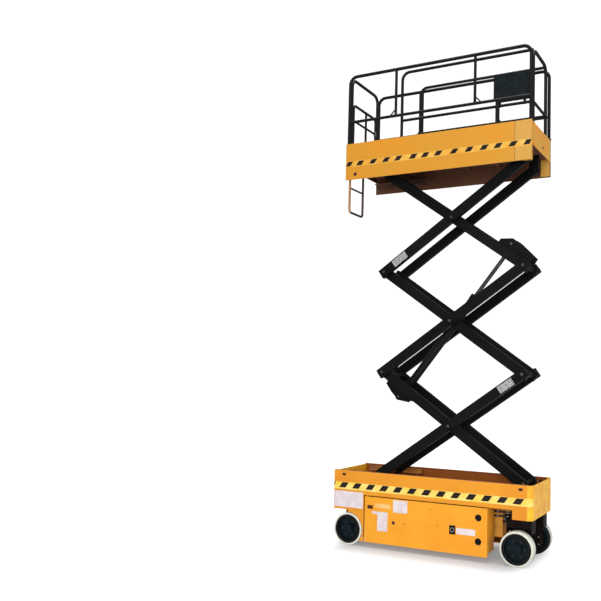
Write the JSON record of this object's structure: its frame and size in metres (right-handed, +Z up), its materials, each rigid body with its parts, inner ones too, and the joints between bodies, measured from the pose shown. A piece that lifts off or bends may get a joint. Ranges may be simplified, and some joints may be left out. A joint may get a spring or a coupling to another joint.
{
  "type": "self-propelled scissor lift with an extending platform",
  "caption": "Electric scissor lift with stacked crossed arms, a railed platform with a sliding extension, swing-out side trays and steered wheels.",
  "frame": {"origin": "on the floor, below the middle of the chassis's length and width", "axes": "+X towards the steered front end, +Y towards the far side, +Z up"},
  "size_m": [2.4995, 0.812, 5.793],
  "materials": {
    "chassis_paint": "satin",
    "module_paint": "satin",
    "floor_paint": "satin",
    "running_gear": "satin",
    "rim_paint": "satin",
    "tyre_rubber": "matt",
    "arm_paint": "satin",
    "pin_steel": "worn",
    "barrel_paint": "satin",
    "rod_chrome": "polished",
    "deck_steel": "tread",
    "rail_paint": "gloss",
    "box_plastic": "matt",
    "battery_case": "matt"
  },
  "bodies": {
    "chassis": {"chassis_side_near": "chassis_paint", "chassis_side_far": "chassis_paint", "chassis_ends": "chassis_paint", "chassis_floor": "floor_paint", "chassis_keel": "floor_paint", "chassis_tracks": "floor_paint", "base_pivots": "floor_paint", "front_axle": "running_gear", "rear_axle": "running_gear", "steer_cylinder": "running_gear"},
    "module_near": {"side_module_near": "module_paint", "battery_pack": "battery_case"},
    "module_far": {"side_module_far": "module_paint", "hydraulic_unit": "battery_case"},
    "knuckle_near": {"knuckle_near": "running_gear"},
    "knuckle_far": {"knuckle_far": "running_gear"},
    "tie_rod": {"tie_rod": "pin_steel"},
    "inner_1": {"inner_arms_1": "arm_paint", "inner_shafts_1": "arm_paint"},
    "outer_1": {"outer_arms_1": "arm_paint", "roller_axle": "pin_steel"},
    "inner_2": {"inner_arms_2": "arm_paint", "inner_shafts_2": "arm_paint"},
    "outer_2": {"outer_arms_2": "arm_paint"},
    "inner_3": {"inner_arms_3": "arm_paint", "inner_shafts_3": "arm_paint"},
    "outer_3": {"outer_arms_3": "arm_paint"},
    "barrel": {"lift_barrel": "barrel_paint"},
    "rod": {"lift_rod": "rod_chrome"},
    "platform": {"platform_skirt_near": "chassis_paint", "platform_skirt_far": "chassis_paint", "platform_deck": "deck_steel", "platform_rear": "chassis_paint", "platform_tracks": "floor_paint", "platform_pivots": "floor_paint", "ladder": "chassis_paint", "rail_near": "rail_paint", "rail_far": "rail_paint", "rear_rail": "rail_paint"},
    "extension": {"extension_deck": "chassis_paint", "extension_rails": "rail_paint", "control_box": "box_plastic"},
    "gate": {"gate": "rail_paint"},
    "wheel_front_near": {"rim_front_near": "rim_paint", "tyre_front_near": "tyre_rubber"},
    "wheel_front_far": {"rim_front_far": "rim_paint", "tyre_front_far": "tyre_rubber"},
    "wheel_rear_near": {"rim_rear_near": "rim_paint", "tyre_rear_near": "tyre_rubber"},
    "wheel_rear_far": {"rim_rear_far": "rim_paint", "tyre_rear_far": "tyre_rubber"}
  },
  "joints": [
    {"name": "scissor_lift", "type": "hinge", "parent": "chassis", "child": "inner_1", "pos_m": [1.066, 0, 0.853], "axis": [0, 1, 0], "range_deg": [-29.75, 10.25]},
    {"name": "centre_pivot_1", "type": "hinge", "parent": "inner_1", "child": "outer_1", "pos_m": [0.18273, 0, 1.46575], "axis": [0, 1, 0], "range_deg": [-20.51, 59.51]},
    {"name": "front_pivot_1", "type": "hinge", "parent": "outer_1", "child": "inner_2", "pos_m": [1.066, 0, 2.07849], "axis": [0, 1, 0], "range_deg": [-59.51, 20.51]},
    {"name": "centre_pivot_2", "type": "hinge", "parent": "inner_2", "child": "outer_2", "pos_m": [0.18273, 0, 2.69124], "axis": [0, 1, 0], "range_deg": [-20.51, 59.51]},
    {"name": "front_pivot_2", "type": "hinge", "parent": "outer_2", "child": "inner_3", "pos_m": [1.066, 0, 3.30399], "axis": [0, 1, 0], "range_deg": [-59.51, 20.51]},
    {"name": "centre_pivot_3", "type": "hinge", "parent": "inner_3", "child": "outer_3", "pos_m": [0.18273, 0, 3.91673], "axis": [0, 1, 0], "range_deg": [-20.51, 59.51]},
    {"name": "platform_pivot", "type": "hinge", "parent": "outer_3", "child": "platform", "pos_m": [1.066, 0, 4.52948], "axis": [0, 1, 0], "range_deg": [-29.76, 10.26]},
    {"name": "cylinder_foot_pivot", "type": "hinge", "parent": "inner_1", "child": "barrel", "pos_m": [-0.55093, 0, 1.78363], "axis": [0, 1, 0], "range_deg": [-20.26, 58.8]},
    {"name": "cylinder_stroke", "type": "slide", "parent": "barrel", "child": "rod", "axis": [0.6192, 0, 0.7852], "range_m": [-0.6524, 0.2254]},
    {"name": "extension_slide", "type": "slide", "parent": "platform", "child": "extension", "axis": [1, 0, 0], "range_m": [0, 0.9]},
    {"name": "gate_hinge", "type": "hinge", "parent": "platform", "child": "gate", "pos_m": [-1.165, -0.332, 4.67798], "axis": [0, 0, 1], "range_deg": [-90, 0]},
    {"name": "module_hinge_near", "type": "hinge", "parent": "chassis", "child": "module_near", "pos_m": [-0.794, -0.382, 0.596], "axis": [0, 0, 1], "range_deg": [-90, 0]},
    {"name": "module_hinge_far", "type": "hinge", "parent": "chassis", "child": "module_far", "pos_m": [-0.794, 0.382, 0.596], "axis": [0, 0, 1], "range_deg": [0, 90]},
    {"name": "steer_near", "type": "hinge", "parent": "chassis", "child": "knuckle_near", "pos_m": [1.066, -0.225, 0.484], "axis": [0, 0, 1], "range_deg": [-30, 30]},
    {"name": "steer_far", "type": "hinge", "parent": "chassis", "child": "knuckle_far", "pos_m": [1.066, 0.225, 0.484], "axis": [0, 0, 1], "range_deg": [-30.01, 30.01]},
    {"name": "tie_rod_slide", "type": "slide", "parent": "chassis", "child": "tie_rod", "axis": [0, 1, 0], "range_m": [-0.1, 0.1]},
    {"name": "wheel_spin_front_near", "type": "hinge", "parent": "knuckle_near", "child": "wheel_front_near", "pos_m": [1.066, -0.3425, 0.1905], "axis": [0, 1, 0], "continuous": true},
    {"name": "wheel_spin_front_far", "type": "hinge", "parent": "knuckle_far", "child": "wheel_front_far", "pos_m": [1.066, 0.3425, 0.1905], "axis": [0, 1, 0], "continuous": true},
    {"name": "wheel_spin_rear_near", "type": "hinge", "parent": "chassis", "child": "wheel_rear_near", "pos_m": [-1.039, -0.3425, 0.1905], "axis": [0, 1, 0], "continuous": true},
    {"name": "wheel_spin_rear_far", "type": "hinge", "parent": "chassis", "child": "wheel_rear_far", "pos_m": [-1.039, 0.3425, 0.1905], "axis": [0, 1, 0], "continuous": true}
  ],
  "couplings": [
    {"joint": "centre_pivot_1", "follows": "scissor_lift", "ratio": -2},
    {"joint": "front_pivot_1", "follows": "scissor_lift", "ratio": 2},
    {"joint": "centre_pivot_2", "follows": "scissor_lift", "ratio": -2},
    {"joint": "front_pivot_2", "follows": "scissor_lift", "ratio": 2},
    {"joint": "centre_pivot_3", "follows": "scissor_lift", "ratio": -2},
    {"joint": "platform_pivot", "follows": "scissor_lift", "ratio": 1},
    {"joint": "cylinder_foot_pivot", "follows": "scissor_lift", "ratio": -1.976},
    {"joint": "cylinder_stroke", "follows": "scissor_lift", "m_per_rad": 1.2546},
    {"joint": "steer_far", "follows": "steer_near", "ratio": 1},
    {"joint": "tie_rod_slide", "follows": "steer_near", "m_per_rad": -0.19}
  ]
}
